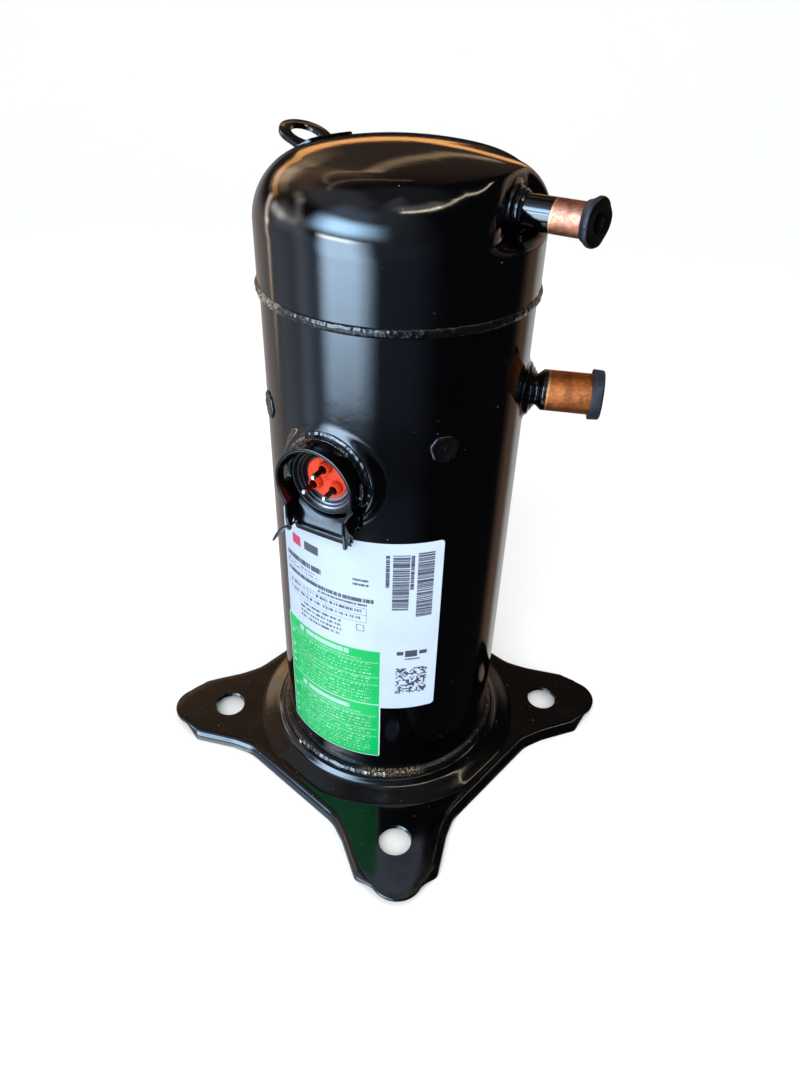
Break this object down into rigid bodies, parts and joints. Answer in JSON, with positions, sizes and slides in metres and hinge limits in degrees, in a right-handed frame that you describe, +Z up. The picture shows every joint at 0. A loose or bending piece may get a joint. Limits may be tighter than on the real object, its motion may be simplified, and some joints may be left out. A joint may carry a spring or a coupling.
{
  "type": "scroll compressor",
  "caption": "Upright hermetic scroll compressor: welded shell on a four-arm foot, capped discharge and suction stubs, terminals, lifting eye, scrolls, shaft and motor.",
  "frame": {"origin": "on the shell's axis, level with the lowest edges of the foot, 5.5 mm below the undersides of its four arms", "axes": "+Z up along the shell's axis; -Y towards the front arm; +X towards the right arm, near which the pipes leave"},
  "size_m": [0.314, 0.314, 0.3944],
  "materials": {
    "shell_paint": "gloss black enamel over welded steel",
    "weld_paint": "gloss black enamel over a rough weld bead",
    "copper_tube": null,
    "plug_rubber": "matt blue-black rubber",
    "insulator": "satin orange-red silicone",
    "terminal_steel": "bright plated steel",
    "rating_film": "satin white label film",
    "caution_film": "satin green label film",
    "pressed_steel": "cold-rolled steel",
    "grey_iron": "machined grey iron",
    "machined_steel": "ground steel",
    "light_alloy": "machined aluminium alloy",
    "bearing_bronze": "bearing bronze or brass",
    "lamination": "stacked electrical steel",
    "copper_winding": null,
    "dark_polymer": "dark moulded polymer",
    "magnet": "sintered magnet"
  },
  "bodies": {
    "housing": {"main_shell": "shell_paint", "top_cap": "shell_paint", "bottom_cap": "shell_paint", "base_plate": "shell_paint", "top_seam_weld": "weld_paint", "base_weld": "weld_paint", "discharge_tube": "copper_tube", "discharge_collar": "shell_paint", "suction_tube": "copper_tube", "suction_collar": "shell_paint", "terminal_fence": "shell_paint", "terminal_body": "terminal_steel", "terminal_insulator": "insulator", "terminal_pin_1": "terminal_steel", "terminal_pin_2": "terminal_steel", "terminal_pin_3": "terminal_steel", "lifting_eye": "shell_paint", "frame_plug_weld_1": "weld_paint", "frame_plug_weld_2": "weld_paint", "frame_plug_weld_3": "weld_paint", "frame_plug_weld_4": "weld_paint", "rating_label": "rating_film", "caution_label": "caution_film", "separator_plate": "pressed_steel", "fixed_scroll": "grey_iron", "fixed_tip_seal": "dark_polymer", "main_frame": "grey_iron", "thrust_plate": "bearing_bronze", "main_bearing": "bearing_bronze", "lower_bearing": "bearing_bronze", "lower_bracket": "grey_iron", "stator_core": "lamination", "upper_end_winding": "copper_winding", "lower_end_winding": "copper_winding", "check_valve_stop": "pressed_steel", "overload_protector": "dark_polymer", "terminal_plug": "dark_polymer", "motor_lead": "dark_polymer", "suction_baffle": "pressed_steel", "sump_magnet": "magnet", "scroll_bolt_1": "pressed_steel", "scroll_bolt_2": "pressed_steel", "scroll_bolt_3": "pressed_steel", "scroll_bolt_4": "pressed_steel"},
    "shaft": {"crankshaft": "machined_steel", "rotor_core": "lamination", "rotor_upper_ring": "light_alloy", "rotor_lower_ring": "light_alloy", "upper_counterweight": "bearing_bronze", "lower_counterweight": "bearing_bronze", "oil_pickup": "pressed_steel"},
    "drive_bush": {"eccentric_bush": "machined_steel"},
    "orbiter": {"orbiting_scroll": "light_alloy", "orbiting_tip_seal": "dark_polymer", "drive_bearing": "bearing_bronze"},
    "oldham_coupling": {"oldham_ring": "light_alloy"},
    "check_valve": {"check_valve_disc": "pressed_steel"},
    "axial_seal": {"floating_seal": "dark_polymer"},
    "discharge_cover": {"discharge_plug": "plug_rubber"},
    "suction_cover": {"suction_plug": "plug_rubber"}
  },
  "joints": [
    {"name": "shaft_spin", "type": "hinge", "parent": "housing", "child": "shaft", "pos_m": [0, 0, 0.1555], "axis": [0, 0, 1], "continuous": true},
    {"name": "bush_unload", "type": "slide", "parent": "shaft", "child": "drive_bush", "axis": [0, 1, 0], "range_m": [-0.0005, 0]},
    {"name": "scroll_orbit", "type": "hinge", "parent": "drive_bush", "child": "orbiter", "pos_m": [0, 0.004, 0.2655], "axis": [0, 0, 1], "continuous": true},
    {"name": "oldham_slide", "type": "slide", "parent": "housing", "child": "oldham_coupling", "axis": [1, 0, 0], "range_m": [-0.004, 0.004]},
    {"name": "valve_lift", "type": "slide", "parent": "housing", "child": "check_valve", "axis": [0, 0, 1], "range_m": [0, 0.0025]},
    {"name": "seal_lift", "type": "slide", "parent": "housing", "child": "axial_seal", "axis": [0, 0, 1], "range_m": [0, 0.001]},
    {"name": "discharge_cover_pull", "type": "slide", "parent": "housing", "child": "discharge_cover", "axis": [0.8434, -0.5373, 0], "range_m": [0, 0.03]},
    {"name": "suction_cover_pull", "type": "slide", "parent": "housing", "child": "suction_cover", "axis": [0.9748, -0.2233, 0], "range_m": [0, 0.03]}
  ],
  "couplings": [
    {"joint": "scroll_orbit", "follows": "shaft_spin", "ratio": -1}
  ]
}
